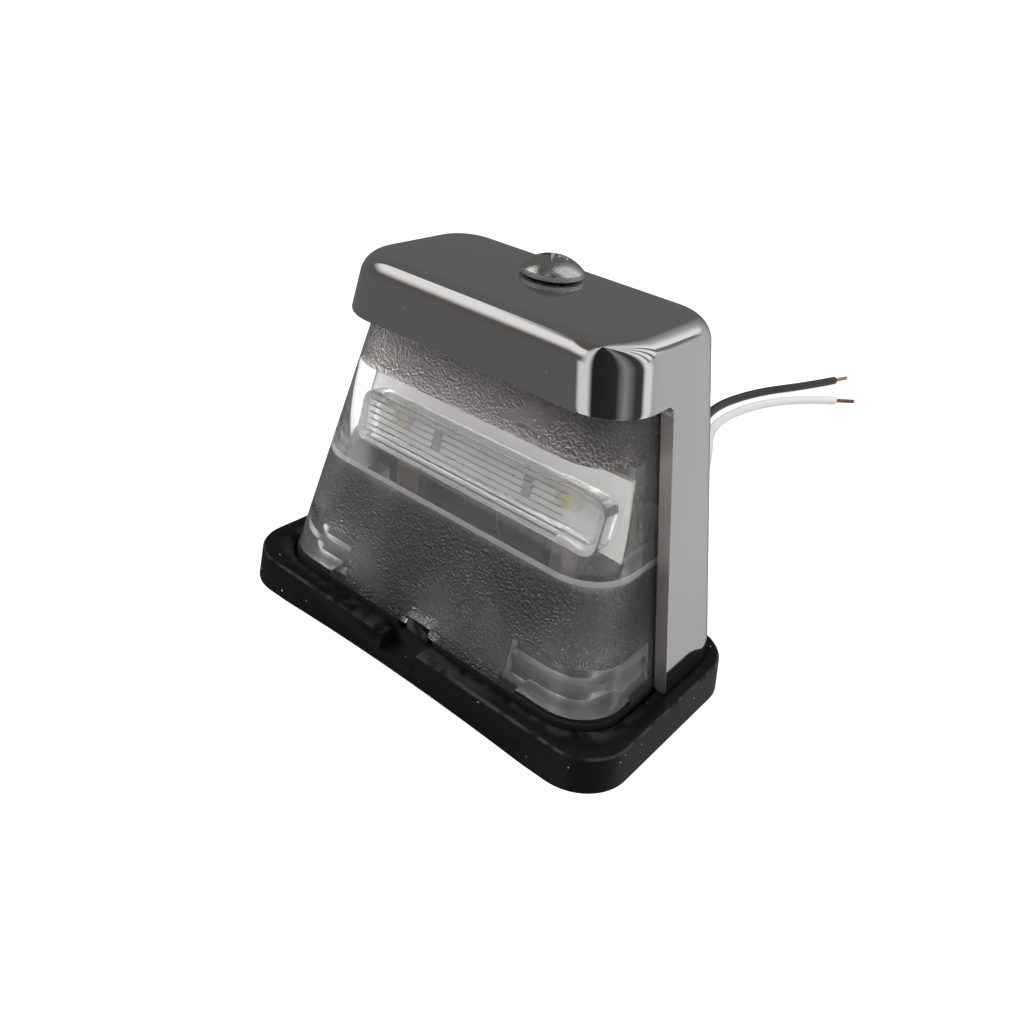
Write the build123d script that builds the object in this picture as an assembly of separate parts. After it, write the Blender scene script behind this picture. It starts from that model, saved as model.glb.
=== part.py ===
from build123d import *
import math
import os

# Number plate lamp: a black base, a clear wrap-around lens on a rubber seal, an LED module behind
# the lens's window band, a chrome hood held by one screw, and two leads out of the back.
# Millimetres, +Z up, origin in the middle of the base's underside, the window looks along -Y.

# Base
base_width = 80.0
base_corner = 8.6
flange_height = 6.2
flange_flare = 0.12
flange_edge = 0.6
floor_thickness = 2.6
rim_side = 3.2
rim_front = 8.0
arch_span = 54.0
arch_rise = 0.8
pry_width = 7.9
pry_floor = 3.0

# Slopes of the walls, mm of lean for each mm of height
side_taper = 0.203
front_taper = 0.17
rear_taper = 0.065

# Lens
lens_setback = 4.7
lens_height = 52.6
lens_wall = 2.8
lens_roof = 2.6
lens_front_corner = 8.4
lens_rear_corner = 5.0
least_corner = 0.4
band_low = 19.0
band_high = 37.6
band_recess = 0.9
band_slope = 1.9
foot_height = 8.4
foot_depth = 5.6
foot_start = 17.2
foot_relief = 0.75
relief_start = 20.8
relief_depth = 11.3
foot_slot_low = 3.0
foot_slot_height = 1.2
foot_slot_wall = 3.6
key_width = 4.6
key_height = 1.3
key_clearance = 0.3

# Seal and its groove
seal_stand = 0.6
seal_groove = 0.9
seal_margin = 0.15
groove_margin = 0.9
seal_inside = 0.3

# Inner rim of the base, behind the lens's front wall
rim_height = 3.4
rim_thickness = 1.8
rim_clearance = 0.3
rim_gap = 7.0

# Hood
hood_wall = 2.1
hood_roof = 2.6
hood_clearance = 0.25
hood_side_margin = 2.3
hood_rear_margin = 0.8
hood_edge = 3.2
hood_front_corner = 8.6
hood_front_taper = 0.07
hood_front_gap = 1.0
lip_drop = 9.6
wing_start = 22.6
wing_corner = 1.2

# Hood screw, its seal, the insert and the pillar
screw_radius = 2.05
screw_length = 17.0
head_radius = 4.9
head_rim = 0.8
head_dome = 2.1
cross_length = 4.6
cross_width = 1.1
cross_depth = 1.2
screw_clearance = 0.35
washer_radius = 4.3
washer_thickness = 0.2
insert_radius = 2.9
insert_length = 9.5
thread_clearance = 0.05
pillar_wall = 1.0
pillar_draft = 0.015
pillar_gap = 0.3
pilot_extra = 6.0

# LED module
module_depth = 9.0
module_above_band = 7.2
module_gap = 1.354
board_thickness = 1.6
board_under_optic = 0.2
board_over_optic = 3.2
board_gap = 0.7
optic_end_gap = 1.1
optic_height = 9.2
optic_depth = 4.0
optic_corner = 2.4
optic_shell = 1.4
optic_pocket = 2.2
flute_count = 8
flute_left_end = 2.3
flute_right_end = 6.5
flute_depth = 0.35
led_end = 7.8
led_top_gap = 0.4
led_length = 3.5
led_height = 2.8
led_thickness = 1.4
resistor_place = 9.4
resistor_length = 1.6
resistor_height = 3.2
resistor_thickness = 0.6
carrier_thickness = 2.6
carrier_margin = 3.6
leg_from_boss = 8.4
leg_width = 5.0
tab_length = 6.5
tab_screw_share = 0.6
tab_thickness = 2.2
tab_screw_radius = 1.3
tab_screw_head = 2.3
tab_screw_head_height = 1.5
tab_screw_clearance = 0.1

# Mounting holes in the floor
hole_inset = 14.6
hole_radius = 2.6
hole_setback = 23.5
boss_wall = 1.9

# Leads and their grommet
lead_diameter = 2.3
lead_pitch = 3.2
lead_clearance = 0.1
lead_lift = 0.1
grommet_place = 10.0
grommet_gap = 0.4
grommet_length = 9.4
grommet_width = 5.6
grommet_lip = 1.1
grommet_lip_height = 1.2
exit_width = 8.4
exit_height = 3.2
tip_radius = 0.6
tip_length = 6.0
pad_inset = 2.1
pad_stub = 5.5
black_pad_rise = 4.6
white_pad_rise = -1.4
black_turn = 17.8
white_turn = 13.2
black_first_height = 30.0
black_second_height = 22.0
white_first_height = 22.0
black_first_inset = 1.7
black_second_inset = 8.8
white_first_inset = 2.0
black_first_lead = 1.7
black_second_lead = 0.1
white_first_lead = 2.9
arc_share = 0.45

# Heights and places that follow from the sizes above
flare_inset = flange_flare * flange_height
hood_skin = hood_wall + hood_clearance
pillar_radius = insert_radius + pillar_wall
board_low = -optic_height / 2 - board_under_optic
board_high = optic_height / 2 + board_over_optic
led_rise = optic_height / 2 - optic_shell - led_top_gap - led_height / 2
module_rise = band_low + module_above_band
module_lean = math.atan(front_taper)

# The base is as deep as what it holds: module, pillar, lens and hood, from front to rear
module_back = board_high * math.sin(module_lean)
module_back += (board_thickness + carrier_thickness) * math.cos(module_lean)
module_back += lens_setback + front_taper * module_rise + module_depth
rear_lean = rear_taper * (lens_height - lens_roof)
behind_pillar = pillar_gap + lens_wall + rear_lean + hood_skin + hood_rear_margin + flare_inset
base_depth = module_back + module_gap + 2 * pillar_radius + behind_pillar

base_front = -base_depth / 2
base_rear = base_depth / 2
floor_under = flange_height - floor_thickness
groove_bottom = flange_height - seal_groove
lens_foot = flange_height + seal_stand
lens_top = lens_foot + lens_height
lens_ceiling = lens_top - lens_roof
hood_top = lens_top + hood_roof
lip_bottom = hood_top - lip_drop
lens_half = base_width / 2 - flare_inset - hood_side_margin - hood_skin
lens_front = base_front + lens_setback
lens_rear = base_rear - flare_inset - hood_rear_margin - hood_skin
wing_front = base_front + wing_start
window_wall = lens_wall - band_recess
key_top = lens_foot + key_height
hole_y = base_front + hole_setback
boss_radius = hole_radius + boss_wall
hole_spacing = base_width - 2 * hole_inset
leg_place = hole_spacing / 2 - leg_from_boss
grommet_y = lens_rear - lens_wall - grommet_gap - grommet_lip - grommet_width / 2
lead_radius = lead_diameter / 2
lead_height = lead_radius + lead_lift
far = base_width + base_depth


def lens_half_at(z):
    """Half the lens's width at height z."""
    return lens_half - side_taper * (z - lens_foot)


def lens_front_at(z):
    """The lens's front face at height z."""
    return lens_front + front_taper * (z - lens_foot)


def lens_rear_at(z):
    """The lens's rear face at height z."""
    return lens_rear - rear_taper * (z - lens_foot)


screw_y = lens_rear_at(lens_ceiling) - lens_wall - pillar_gap - pillar_radius
hood_lip_front = lens_front_at(lip_bottom) - hood_front_gap - hood_wall

module_z = lens_foot + module_rise
module_plane = Plane(
    origin=(0, lens_front_at(module_z) + module_depth, module_z),
    x_dir=(1, 0, 0),
    z_dir=(0, -math.cos(module_lean), math.sin(module_lean)),
)


def on_module(x, rise, out):
    """A point of the module: along the board, up its face, and out from its front."""
    return module_plane.from_local_coords(Vector(x, rise, out))


def board_half_at(rise):
    """Half the board's width at a rise up its face: its ends follow the lens's side walls."""
    return lens_half_at(on_module(0, rise, 0).Z) - window_wall - board_gap


def outline(half, front, rear, front_radius, rear_radius, z):
    """A rectangle at height z with one radius at its front corners and another at the rear."""
    plate = Pos(0, (front + rear) / 2) * Rectangle(2 * half, rear - front)
    plate = fillet(plate.vertices().group_by(Axis.Y)[0], front_radius)
    plate = fillet(plate.vertices().group_by(Axis.Y)[-1], rear_radius)
    return Pos(0, 0, z) * plate


def lens_outline(z, inset):
    """The lens's outline at height z, drawn in by the inset."""
    return outline(
        lens_half_at(z) - inset,
        lens_front_at(z) + inset,
        lens_rear_at(z) - inset,
        max(lens_front_corner - inset, least_corner),
        max(lens_rear_corner - inset, least_corner),
        z,
    )


def lens_block(low, high, inset):
    """A solid with the lens's slopes between two heights, drawn in by the inset."""
    return loft([lens_outline(low, inset).face(), lens_outline(high, inset).face()])


def hood_outline(z, inset):
    """The hood's outline at height z, drawn in by the inset."""
    return outline(
        lens_half_at(z) + hood_skin - inset,
        hood_lip_front + hood_front_taper * (z - lip_bottom) + inset,
        lens_rear_at(z) + hood_skin - inset,
        max(hood_front_corner - inset, least_corner),
        max(lens_rear_corner + hood_skin - inset, least_corner),
        z,
    )


def hood_block(low, high, inset):
    """A solid with the hood's slopes between two heights, drawn in by the inset."""
    return loft([hood_outline(low, inset).face(), hood_outline(high, inset).face()])


def box(x0, x1, y0, y1, z0, z1):
    """A box between two corners."""
    return Pos((x0 + x1) / 2, (y0 + y1) / 2, (z0 + z1) / 2) * Box(x1 - x0, y1 - y0, z1 - z0)


def rod(x, y, low, high, radius):
    """An upright round bar."""
    return Pos(x, y, (low + high) / 2) * Cylinder(radius, high - low)


def cone(x, y, low, high, low_radius, high_radius):
    """An upright round bar whose radius changes with height."""
    return Pos(x, y, (low + high) / 2) * Cone(low_radius, high_radius, high - low)


def both_sides(solid):
    """The solid and its mirror image across the middle of the lamp."""
    return solid + mirror(solid, Plane.YZ)


def slot(x, y, length, width, low, high):
    """An upright bar with a long round-ended section across the lamp."""
    return extrude(Pos(x, y, low) * SlotOverall(length, width), high - low)


def module_prism(points, back, front):
    """A flat piece on the module: an outline on the board's face, from one depth to another."""
    return extrude(module_plane.offset(back) * make_face(Polyline(*points, close=True)), front - back)


def base_tray():
    """The moulded base: flared flange, hollow underside, floor, pillar and the lens's fittings."""
    half = base_width / 2
    bottom = outline(half, base_front, base_rear, base_corner, base_corner, 0)
    top = outline(
        half - flare_inset,
        base_front + flare_inset,
        base_rear - flare_inset,
        base_corner - flare_inset,
        base_corner - flare_inset,
        flange_height,
    )
    tray = loft([bottom.face(), top.face()])
    tray = fillet(tray.edges().group_by(Axis.Z)[-1], flange_edge)

    hollow_corner = base_corner - rim_side
    hollow_front = base_front + rim_front
    hollow = outline(half - rim_side, hollow_front, base_rear - rim_side, hollow_corner, hollow_corner, 0)
    tray -= extrude(hollow, floor_under)

    arch_radius = (arch_span**2 / 4 + arch_rise**2) / (2 * arch_rise)
    arch = Pos(0, base_front, arch_rise - arch_radius) * Rot(90, 0, 0) * Cylinder(arch_radius, rim_front)
    tray -= arch

    groove = lens_outline(lens_foot, -groove_margin) - lens_outline(lens_foot, lens_wall + seal_inside)
    tray -= extrude(groove, groove_bottom - lens_foot)
    tray -= box(-pry_width / 2, pry_width / 2, base_front, lens_front_at(pry_floor), pry_floor, lens_foot)
    tray += lens_key()
    tray += inner_rim()

    pillar_foot = pillar_radius + pillar_draft * lens_ceiling
    tray += cone(0, screw_y, floor_under, lens_ceiling, pillar_foot, pillar_radius)
    tray -= rod(0, screw_y, lens_ceiling - insert_length, lens_ceiling, insert_radius)
    tray -= rod(0, screw_y, screw_tip - pilot_extra, lens_ceiling, screw_radius + screw_clearance)

    tray += both_sides(rod(hole_spacing / 2, hole_y, 0, flange_height, boss_radius))
    tray -= both_sides(rod(hole_spacing / 2, hole_y, 0, flange_height, hole_radius))
    tray -= both_sides(rod(leg_place, tab_screw_y, 0, flange_height, tab_screw_radius + tab_screw_clearance))
    tray -= slot(grommet_place, grommet_y, grommet_length, grommet_width, 0, flange_height)
    tray -= box(
        grommet_place - exit_width / 2, grommet_place + exit_width / 2, grommet_y, base_rear, 0, exit_height
    )
    return tray


def lens_key():
    """The upright key that stands in the cut-out of the lens's lower edge."""
    back = lens_front_at(lens_foot) + lens_wall
    low = box(-key_width / 2, key_width / 2, lens_front_at(pry_floor), back, pry_floor, key_top)
    return low - box(-far, far, -far, lens_front_at(key_top), pry_floor, key_top)


def inner_rim():
    """Two short ribs behind the lens's front wall, one each side of the key."""
    front = lens_front_at(flange_height + rim_height) + lens_wall + rim_clearance
    end = foot_start - rim_clearance
    rib = box(rim_gap / 2, end, front, front + rim_thickness, floor_under, flange_height + rim_height)
    return both_sides(rib)


def seal_ring():
    """The rubber seal under the lens, open where the key stands."""
    ring = lens_outline(lens_foot, -seal_margin) - lens_outline(lens_foot, lens_wall)
    ring = extrude(ring, groove_bottom - lens_foot)
    gap = pry_width / 2
    return ring - box(-gap, gap, -far, 0, 0, far)


def lens_cover():
    """The clear cover: leaning walls, a thinner window band, and solid feet at the front corners."""
    cover = lens_block(lens_foot, lens_top, 0) - lens_block(lens_foot, lens_ceiling, lens_wall)
    cover += both_sides(lens_foot_block())
    ledge = lens_foot + band_low
    sill = ledge + band_slope
    cover -= loft([lens_outline(ledge, lens_wall).face(), lens_outline(sill, window_wall).face()])
    cover -= lens_block(sill, lens_foot + band_high, window_wall)
    gap = key_width / 2 + key_clearance
    cover -= box(-gap, gap, -far, 0, lens_foot, key_top + key_clearance)
    relief = box(relief_start, far, -far, lens_front + relief_depth, lens_foot, lens_foot + foot_relief)
    cover -= both_sides(relief)
    return cover - rod(0, screw_y, lens_ceiling, lens_top, screw_radius + screw_clearance)


def lens_foot_block():
    """The solid clear foot at one lower front corner, with a level slot on its inside."""
    top = lens_foot + foot_height
    foot = lens_block(lens_foot, top, 0) - lens_block(lens_foot, top, foot_depth)
    slot_low = lens_foot + foot_slot_low
    foot -= lens_block(slot_low, slot_low + foot_slot_height, foot_slot_wall)
    return foot & box(foot_start, far, -far, wing_front, lens_foot, top)


def chrome_hood():
    """The hood: rounded roof, lip over the window, and wings down to the base at the rear."""
    hood = hood_block(flange_height, hood_top, 0)
    hood = fillet(hood.edges().group_by(Axis.Z)[-1], hood_edge)
    hood -= hood_block(flange_height, lens_top, hood_wall)
    window = box(-far, far, -far, wing_front, 0, lip_bottom)
    hood -= fillet(window.edges().filter_by(Axis.X).group_by(Axis.Y)[-1].group_by(Axis.Z)[-1], wing_corner)
    return hood - rod(0, screw_y, lens_top, hood_top, screw_radius + screw_clearance)


def hood_screw():
    """The round-headed cross-recess screw through the hood's roof."""
    rim_top = head_seat + head_rim
    ball = (head_radius**2 + head_dome**2) / (2 * head_dome)
    dome = Pos(0, screw_y, rim_top + head_dome - ball) * Sphere(ball)
    dome &= rod(0, screw_y, rim_top, rim_top + head_dome, head_radius)
    screw = rod(0, screw_y, head_seat, rim_top, head_radius) + dome
    screw += rod(0, screw_y, screw_tip, head_seat, screw_radius)
    recess_top = rim_top + head_dome
    recess = Pos(0, screw_y, recess_top - cross_depth / 2) * Box(cross_length, cross_width, cross_depth)
    recess += Pos(0, screw_y, recess_top - cross_depth / 2) * Box(cross_width, cross_length, cross_depth)
    return screw - recess


def screw_washer():
    """The thin sealing washer under the screw's head."""
    washer = rod(0, screw_y, hood_top, head_seat, washer_radius)
    return washer - rod(0, screw_y, hood_top, head_seat, screw_radius + screw_clearance)


def threaded_insert():
    """The brass insert in the top of the pillar."""
    low = lens_ceiling - insert_length
    insert = rod(0, screw_y, low, lens_ceiling, insert_radius)
    return insert - rod(0, screw_y, low, lens_ceiling, screw_radius + thread_clearance)


def board_points(low, high, margin):
    """Corners of a plate whose ends follow the lens's side walls."""
    low_half = board_half_at(low) - margin
    high_half = board_half_at(high) - margin
    return [(-low_half, low), (low_half, low), (high_half, high), (-high_half, high)]


def circuit_board():
    """The LED board, parallel to the lens's front."""
    return module_prism(board_points(board_low, board_high, 0), -board_thickness, 0)


def optic_bar():
    """The clear bar over the LEDs: flutes along its face and plain blocks at its ends."""
    face = RectangleRounded(optic_length, optic_height, optic_corner)
    bar = extrude(module_plane * face, optic_depth)
    pitch = optic_height / flute_count
    groove_radius = (pitch**2 / 4 + flute_depth**2) / (2 * flute_depth)
    middle = (flute_left + flute_right) / 2
    groove_bar = Rot(0, 90, 0) * Cylinder(groove_radius, flute_right - flute_left)
    for index in range(1, flute_count):
        rise = index * pitch - optic_height / 2
        centre = Pos(middle, rise, optic_depth + groove_radius - flute_depth)
        bar -= module_plane.location * centre * groove_bar
    pocket = Rectangle(optic_length - 2 * optic_shell, optic_height - 2 * optic_shell)
    return bar - extrude(module_plane * pocket, optic_pocket)


def board_chip(x, rise, length, height, thickness):
    """A small block soldered to the board's front."""
    return extrude(module_plane * Pos(x, rise) * Rectangle(length, height), thickness)


def module_carrier():
    """The plate behind the board, on two legs with screwed tabs on the base's floor."""
    back = -board_thickness - carrier_thickness
    carrier = module_prism(board_points(board_low, board_high, carrier_margin), back, -board_thickness)
    down = board_low - module_z
    left = leg_place - leg_width / 2
    right = leg_place + leg_width / 2
    corners = [(left, down), (right, down), (right, board_low), (left, board_low)]
    leg = module_prism(corners, back, -board_thickness)
    leg -= box(-far, far, -far, far, -far, flange_height)
    tab = box(left, right, leg_back, leg_back + tab_length, flange_height, flange_height + tab_thickness)
    hole = rod(leg_place, tab_screw_y, flange_height, tab_top, tab_screw_radius + tab_screw_clearance)
    return carrier + both_sides(leg + tab - hole)


def tab_screws():
    """The two small screws that hold the carrier's tabs to the floor."""
    head = rod(leg_place, tab_screw_y, tab_top, tab_top + tab_screw_head_height, tab_screw_head)
    head = fillet(head.edges().group_by(Axis.Z)[-1], tab_screw_head_height / 2)
    return both_sides(head + rod(leg_place, tab_screw_y, floor_under, tab_top, tab_screw_radius))


def lead_grommet():
    """The rubber grommet in the floor, with a hole for each lead."""
    lip_length = grommet_length + 2 * grommet_lip
    lip_width = grommet_width + 2 * grommet_lip
    grommet = slot(grommet_place, grommet_y, grommet_length, grommet_width, floor_under, flange_height)
    lip_top = flange_height + grommet_lip_height
    grommet += slot(grommet_place, grommet_y, lip_length, lip_width, flange_height, lip_top)
    for x in (black_exit, white_exit):
        grommet -= rod(x, grommet_y, floor_under, lip_top, lead_radius + lead_clearance)
    return grommet


def lead_tube(name, points, last_radius=None):
    """A lead along its points: straight runs joined by arcs that touch them."""
    corners = [Vector(*point) for point in points]
    radii = []
    for before, corner, after in zip(corners, corners[1:], corners[2:]):
        turn = math.radians((corner - before).get_angle(after - corner))
        shorter = min((corner - before).length, (after - corner).length)
        radii.append(arc_share * shorter / math.tan(turn / 2))
    if last_radius:
        radii[-1] = last_radius
    route = FilletPolyline(*corners, radius=radii)
    start = Plane(origin=corners[0], z_dir=corners[1] - corners[0])
    tube = sweep(start * Circle(lead_radius), path=route)
    print(name, "length", round(route.length, 1), "radii", [round(r, 1) for r in radii])
    return tube


def pad_place(rise):
    """How far along the board a lead's pad is, at a rise up its face."""
    return board_half_at(rise) - pad_inset


def lead_inside(name, pad_rise, exit_x, way, turn_height):
    """A lead's stretch inside the lamp, from its pad on the board's back to the rear of the base."""
    pad_x = pad_place(pad_rise)
    pad = on_module(pad_x, pad_rise, -board_thickness)
    stub = on_module(pad_x, pad_rise, -board_thickness - pad_stub)
    over_hole = (exit_x, grommet_y, turn_height)
    under_hole = (exit_x, grommet_y, lead_height)
    at_rear = (exit_x, base_rear, lead_height)
    points = [tuple(pad), tuple(stub)] + way + [over_hole, under_hole, at_rear]
    return lead_tube(name, points, floor_under - lead_height)


def lead_tip(points):
    """The stripped copper end of a lead."""
    end = Vector(*points[-1])
    along = (end - Vector(*points[-2])).normalized()
    return extrude(Plane(origin=end, z_dir=along) * Circle(tip_radius), tip_length)


# Places that need the functions above
head_seat = hood_top + washer_thickness
screw_tip = head_seat - screw_length
leg_back = on_module(0, 0, -board_thickness - carrier_thickness).Y - front_taper * (module_z - flange_height)
tab_screw_y = leg_back + tab_length * tab_screw_share
tab_top = flange_height + tab_thickness
black_exit = grommet_place - lead_pitch / 2
white_exit = grommet_place + lead_pitch / 2
optic_length = 2 * (board_half_at(optic_height / 2) - optic_end_gap)
flute_left = flute_left_end - optic_length / 2
flute_right = optic_length / 2 - flute_right_end
led_place = optic_length / 2 - led_end

# The leads' free stretches, on the surface that the lamp stands on
black_route = [
    (black_exit, base_rear, lead_height),
    (black_exit, 41.5, lead_height),
    (3.0, 66.0, lead_height),
    (-10.0, 94.0, lead_height),
    (-18.2, 116.0, lead_height),
    (-15.4, 138.0, lead_height),
    (-7.0, 158.0, lead_height),
    (-3.6, 169.0, lead_height),
]
white_route = [
    (white_exit, base_rear, lead_height),
    (white_exit, 41.5, lead_height),
    (7.0, 64.0, lead_height),
    (-2.6, 88.0, lead_height),
    (-12.6, 107.0, lead_height),
    (-11.8, 128.0, lead_height),
    (-4.6, 146.0, lead_height),
    (3.0, 154.0, lead_height),
]

# The leads' way points inside the lamp, between the board's pads and the grommet
black_pad = pad_place(black_pad_rise)
white_pad = pad_place(white_pad_rise)
black_way = [
    (black_pad - black_first_inset, grommet_y - black_first_lead, black_first_height),
    (black_pad - black_second_inset, grommet_y - black_second_lead, black_second_height),
]
white_way = [(white_pad - white_first_inset, grommet_y - white_first_lead, white_first_height)]

nodes = {
    "base": base_tray(),
    "lens_seal": seal_ring(),
    "lens": lens_cover(),
    "hood": chrome_hood(),
    "hood_screw": hood_screw(),
    "screw_washer": screw_washer(),
    "threaded_insert": threaded_insert(),
    "circuit_board": circuit_board(),
    "optic": optic_bar(),
    "module_carrier": module_carrier(),
    "carrier_screws": tab_screws(),
    "led_left": board_chip(-led_place, led_rise, led_length, led_height, led_thickness),
    "led_right": board_chip(led_place, led_rise, led_length, led_height, led_thickness),
    "resistor_left": board_chip(-resistor_place, 0, resistor_length, resistor_height, resistor_thickness),
    "resistor_right": board_chip(resistor_place, 0, resistor_length, resistor_height, resistor_thickness),
    "lead_grommet": lead_grommet(),
    "black_lead_inside": lead_inside("black_lead_inside", black_pad_rise, black_exit, black_way, black_turn),
    "white_lead_inside": lead_inside("white_lead_inside", white_pad_rise, white_exit, white_way, white_turn),
    "black_lead": lead_tube("black_lead", black_route),
    "white_lead": lead_tube("white_lead", white_route),
    "black_lead_tip": lead_tip(black_route),
    "white_lead_tip": lead_tip(white_route),
}

os.makedirs("parts", exist_ok=True)
for name, solid in nodes.items():
    export_step(solid, f"parts/{name}.step")
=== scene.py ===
import math

import bmesh
import bpy
import numpy as np
from mathutils import Matrix


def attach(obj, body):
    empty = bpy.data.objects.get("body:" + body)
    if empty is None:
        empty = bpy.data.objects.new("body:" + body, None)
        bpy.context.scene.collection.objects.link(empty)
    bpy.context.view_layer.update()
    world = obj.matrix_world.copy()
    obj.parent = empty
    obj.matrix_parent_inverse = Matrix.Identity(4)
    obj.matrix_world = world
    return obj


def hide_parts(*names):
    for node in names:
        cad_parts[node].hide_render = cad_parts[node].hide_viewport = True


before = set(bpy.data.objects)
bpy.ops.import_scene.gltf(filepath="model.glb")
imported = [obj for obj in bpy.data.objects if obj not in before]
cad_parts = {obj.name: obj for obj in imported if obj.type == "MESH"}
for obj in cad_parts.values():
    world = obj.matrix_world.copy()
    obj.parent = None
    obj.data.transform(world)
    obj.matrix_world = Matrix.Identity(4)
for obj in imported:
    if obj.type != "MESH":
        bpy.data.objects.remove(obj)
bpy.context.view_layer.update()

# Sizes of the lamp in millimetres, as in the part's source
MM = 0.001
FLANGE_HEIGHT = 6.2
LENS_FOOT = 6.8
LENS_TOP = 59.4
LENS_CEILING = 56.8
LENS_HALF = 34.606
LENS_FRONT = -16.8
LENS_REAR = 17.606
SIDE_TAPER = 0.203
FRONT_TAPER = 0.17
REAR_TAPER = 0.065
LENS_FRONT_CORNER = 8.4
LENS_REAR_CORNER = 5.0
LENS_WALL = 2.8
WINDOW_WALL = 1.9
BAND_LOW = 25.8
BAND_HIGH = 44.4
BAND_SLOPE = 1.9
PEBBLE_LOW = 27.7
FOOT_TOP = 15.2
FOOT_DEPTH = 5.6
FOOT_START = 17.2
FOOT_SLOT_LOW = 9.8
FOOT_SLOT_HIGH = 11.0
FOOT_SLOT_WALL = 3.6
RELIEF_TOP = 7.55
RELIEF_START = 20.8
RELIEF_END = -5.5
KEY_GAP = 2.6
KEY_GAP_TOP = 8.4
WING_FRONT = 1.1
WING_CORNER = 1.2
HOOD_TOP = 62.0
HOOD_SKIN = 2.35
HOOD_WALL = 2.1
HOOD_EDGE = 3.2
HOOD_FRONT_CORNER = 8.6
HOOD_FRONT_TAPER = 0.07
HOOD_LIP_FRONT = -12.15
LIP_BOTTOM = 52.4
LIP_EDGE = 0.45
SCREW_Y = 7.356
SCREW_HOLE = 2.4
HEAD_SEAT = 62.2
HEAD_RADIUS = 4.9
HEAD_RIM = 0.8
HEAD_DOME = 2.1
SHANK_RADIUS = 2.05
SHANK_TIP = 45.2
RECESS_TURN = 28
RECESS_ARM = 0.7
RECESS_REACH = 2.4
RECESS_DEPTH = 1.05
MODULE_Y = -3.346
MODULE_Z = 33.0
OPTIC_HALF = 24.667
OPTIC_RISE = 4.6
OPTIC_DEPTH = 4.0
OPTIC_CORNER = 2.4
OPTIC_SHELL = 1.4
OPTIC_POCKET = 2.2
FLUTES = 8
FLUTE_LEFT = -22.367
FLUTE_RIGHT = 18.167
FLUTE_DEPTH = 0.35
LED_PLACE = 16.867
LED_RISE = 1.4
RESISTOR_PLACE = 9.4
RIB_BULGE = 0.1
GROOVE_HALF = 0.14
LEAD_HEIGHT = 1.25
LEAD_DIAMETER = 2.3
TIP_LENGTH = 6.0
STRANDS = 7
STRAND_RADIUS = 0.19
STRAND_OFF = 0.39
STRAND_TWIST = 2.2
BLACK_LENGTH = 154.1
WHITE_LENGTH = 140.9
TENT_RADIUS = 2000.0
FLOOR_RADIUS = 3000.0

# The photograph's camera: its place in millimetres, its directions and its focal length
CAMERA_PLACE = (80.93, -108.31, 104.32)
CAMERA_RIGHT = (0.7675, 0.6307, 0.1150)
CAMERA_UP = (-0.4045, 0.3373, 0.8501)
CAMERA_BACK = (0.4973, -0.6989, 0.5140)
CAMERA_LENS = 33.31


class Value:
    """A node's output with arithmetic: an expression on values adds the Math nodes that work it out."""

    def __init__(self, finish, socket):
        self.finish = finish
        self.socket = socket

    def math(self, operation, first, second):
        return self.finish.node("ShaderNodeMath", {"operation": operation}, {0: first, 1: second})

    def __add__(self, other):
        return self.math("ADD", self, other)

    __radd__ = __add__

    def __sub__(self, other):
        return self.math("SUBTRACT", self, other)

    def __rsub__(self, other):
        return self.math("SUBTRACT", other, self)

    def __mul__(self, other):
        return self.math("MULTIPLY", self, other)

    __rmul__ = __mul__

    def __truediv__(self, other):
        return self.math("DIVIDE", self, other)

    def __rtruediv__(self, other):
        return self.math("DIVIDE", other, self)

    def __abs__(self):
        return self.math("ABSOLUTE", self, 0.0)

    def step(self, low, high):
        """0 below low, 1 above high, and a smooth rise between; the other way round if low is above high."""
        settings = {"interpolation_type": "SMOOTHSTEP"}
        if low < high:
            return self.finish.node("ShaderNodeMapRange", settings, {0: self, 1: low, 2: high, 3: 0.0, 4: 1.0})
        return self.finish.node("ShaderNodeMapRange", settings, {0: self, 1: high, 2: low, 3: 1.0, 4: 0.0})


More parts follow.
